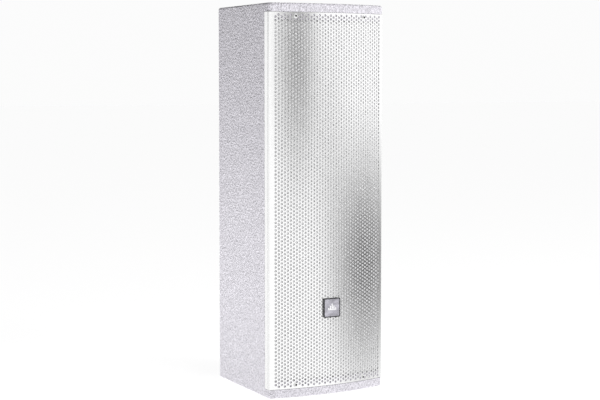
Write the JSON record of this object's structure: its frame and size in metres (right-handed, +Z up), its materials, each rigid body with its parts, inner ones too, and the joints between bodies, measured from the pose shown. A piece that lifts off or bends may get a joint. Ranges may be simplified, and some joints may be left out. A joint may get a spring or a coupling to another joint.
{
  "type": "line array speaker",
  "caption": "Slim installation loudspeaker: tapered plywood cabinet with a bowed perforated grille, woofers above and below a horn, bass ports and a rear input cup.",
  "frame": {"origin": "middle of the base, on the surface the cabinet stands on", "axes": "+Z up, the bowed grille faces -Y, +X to the right seen from the front"},
  "size_m": [0.235, 0.248, 0.676],
  "materials": {
    "cabinet_paint": "textured light grey paint on plywood",
    "plywood": "bare plywood",
    "grille_paint": "satin light grey powder coat",
    "grille_foam": "light open-cell foam",
    "lining": "loose fibre pad",
    "light_screws": "light painted steel",
    "dark_screws": "black steel",
    "plated_steel": "zinc plated",
    "basket_paint": "black paint",
    "ferrite": "ground ferrite",
    "cone_paper": "treated paper",
    "surround_rubber": "matt",
    "spider_cloth": "varnished cloth",
    "copper": "enamelled copper",
    "coil_former": "wound former",
    "diaphragm_metal": "thin sheet",
    "black_plastic": "fine grain",
    "badge_rim": "gloss",
    "badge_field": "satin grey",
    "badge_mark": "satin",
    "board": "circuit board",
    "capacitor_case": "film capacitor",
    "lead_jacket": "matt"
  },
  "bodies": {
    "cabinet": {"baffle_screws": "dark_screws", "board_screws": "plated_steel", "bottom_panel": "cabinet_paint", "bracket_inserts": "plated_steel", "capacitors": "capacitor_case", "cover_pin": "plated_steel", "crossover_board": "board", "driver_gap_plate": "plated_steel", "driver_magnet": "ferrite", "driver_rear_cap": "black_plastic", "driver_yoke": "plated_steel", "front_baffle": "cabinet_paint", "grille": "grille_paint", "grille_cleats": "cabinet_paint", "grille_foam": "grille_foam", "grille_screws": "light_screws", "horn": "black_plastic", "inductors": "copper", "input_cup": "black_plastic", "input_lead": "lead_jacket", "input_screws": "dark_screws", "left_port_tube": "black_plastic", "left_side_panel": "cabinet_paint", "lower_brace": "plywood", "lower_frame": "basket_paint", "lower_magnet": "ferrite", "lower_spider": "spider_cloth", "lower_surround": "surround_rubber", "lower_top_plate": "plated_steel", "lower_yoke": "plated_steel", "rear_inserts": "plated_steel", "rear_panel": "cabinet_paint", "right_port_tube": "black_plastic", "right_side_panel": "cabinet_paint", "side_linings": "lining", "speaker_leads": "lead_jacket", "terminal_block": "black_plastic", "terminal_screws": "plated_steel", "top_panel": "cabinet_paint", "upper_brace": "plywood", "upper_frame": "basket_paint", "upper_magnet": "ferrite", "upper_spider": "spider_cloth", "upper_surround": "surround_rubber", "upper_top_plate": "plated_steel", "upper_yoke": "plated_steel", "woofer_terminals": "black_plastic"},
    "upper_cone_assembly": {"upper_cone": "cone_paper", "upper_dust_cap": "cone_paper", "upper_voice_coil": "coil_former"},
    "lower_cone_assembly": {"lower_cone": "cone_paper", "lower_dust_cap": "cone_paper", "lower_voice_coil": "coil_former"},
    "diaphragm_assembly": {"driver_diaphragm": "diaphragm_metal"},
    "badge_assembly": {"badge_base": "badge_rim", "badge_face": "badge_field", "badge_emblem": "badge_mark", "badge_retainer": "badge_rim"},
    "cover_assembly": {"terminal_cover": "black_plastic"}
  },
  "joints": [
    {"name": "upper_cone_travel", "type": "slide", "parent": "cabinet", "child": "upper_cone_assembly", "axis": [0, -1, 0], "range_m": [-0.004, 0.004], "stiffness_N_per_m": 2500, "deforming": ["upper_surround", "upper_spider"]},
    {"name": "lower_cone_travel", "type": "slide", "parent": "cabinet", "child": "lower_cone_assembly", "axis": [0, -1, 0], "range_m": [-0.004, 0.004], "stiffness_N_per_m": 2500, "deforming": ["lower_surround", "lower_spider"]},
    {"name": "diaphragm_travel", "type": "slide", "parent": "cabinet", "child": "diaphragm_assembly", "axis": [0, -1, 0], "range_m": [-0.00035, 0.00035], "stiffness_N_per_m": 1000},
    {"name": "badge_turn", "type": "hinge", "parent": "cabinet", "child": "badge_assembly", "pos_m": [0, -0.121, 0.1515], "axis": [0, -1, 0], "range_deg": [0, 90]},
    {"name": "cover_hinge", "type": "hinge", "parent": "cabinet", "child": "cover_assembly", "pos_m": [0, 0.1204, 0.1205], "axis": [1, 0, 0], "range_deg": [0, 90]}
  ]
}
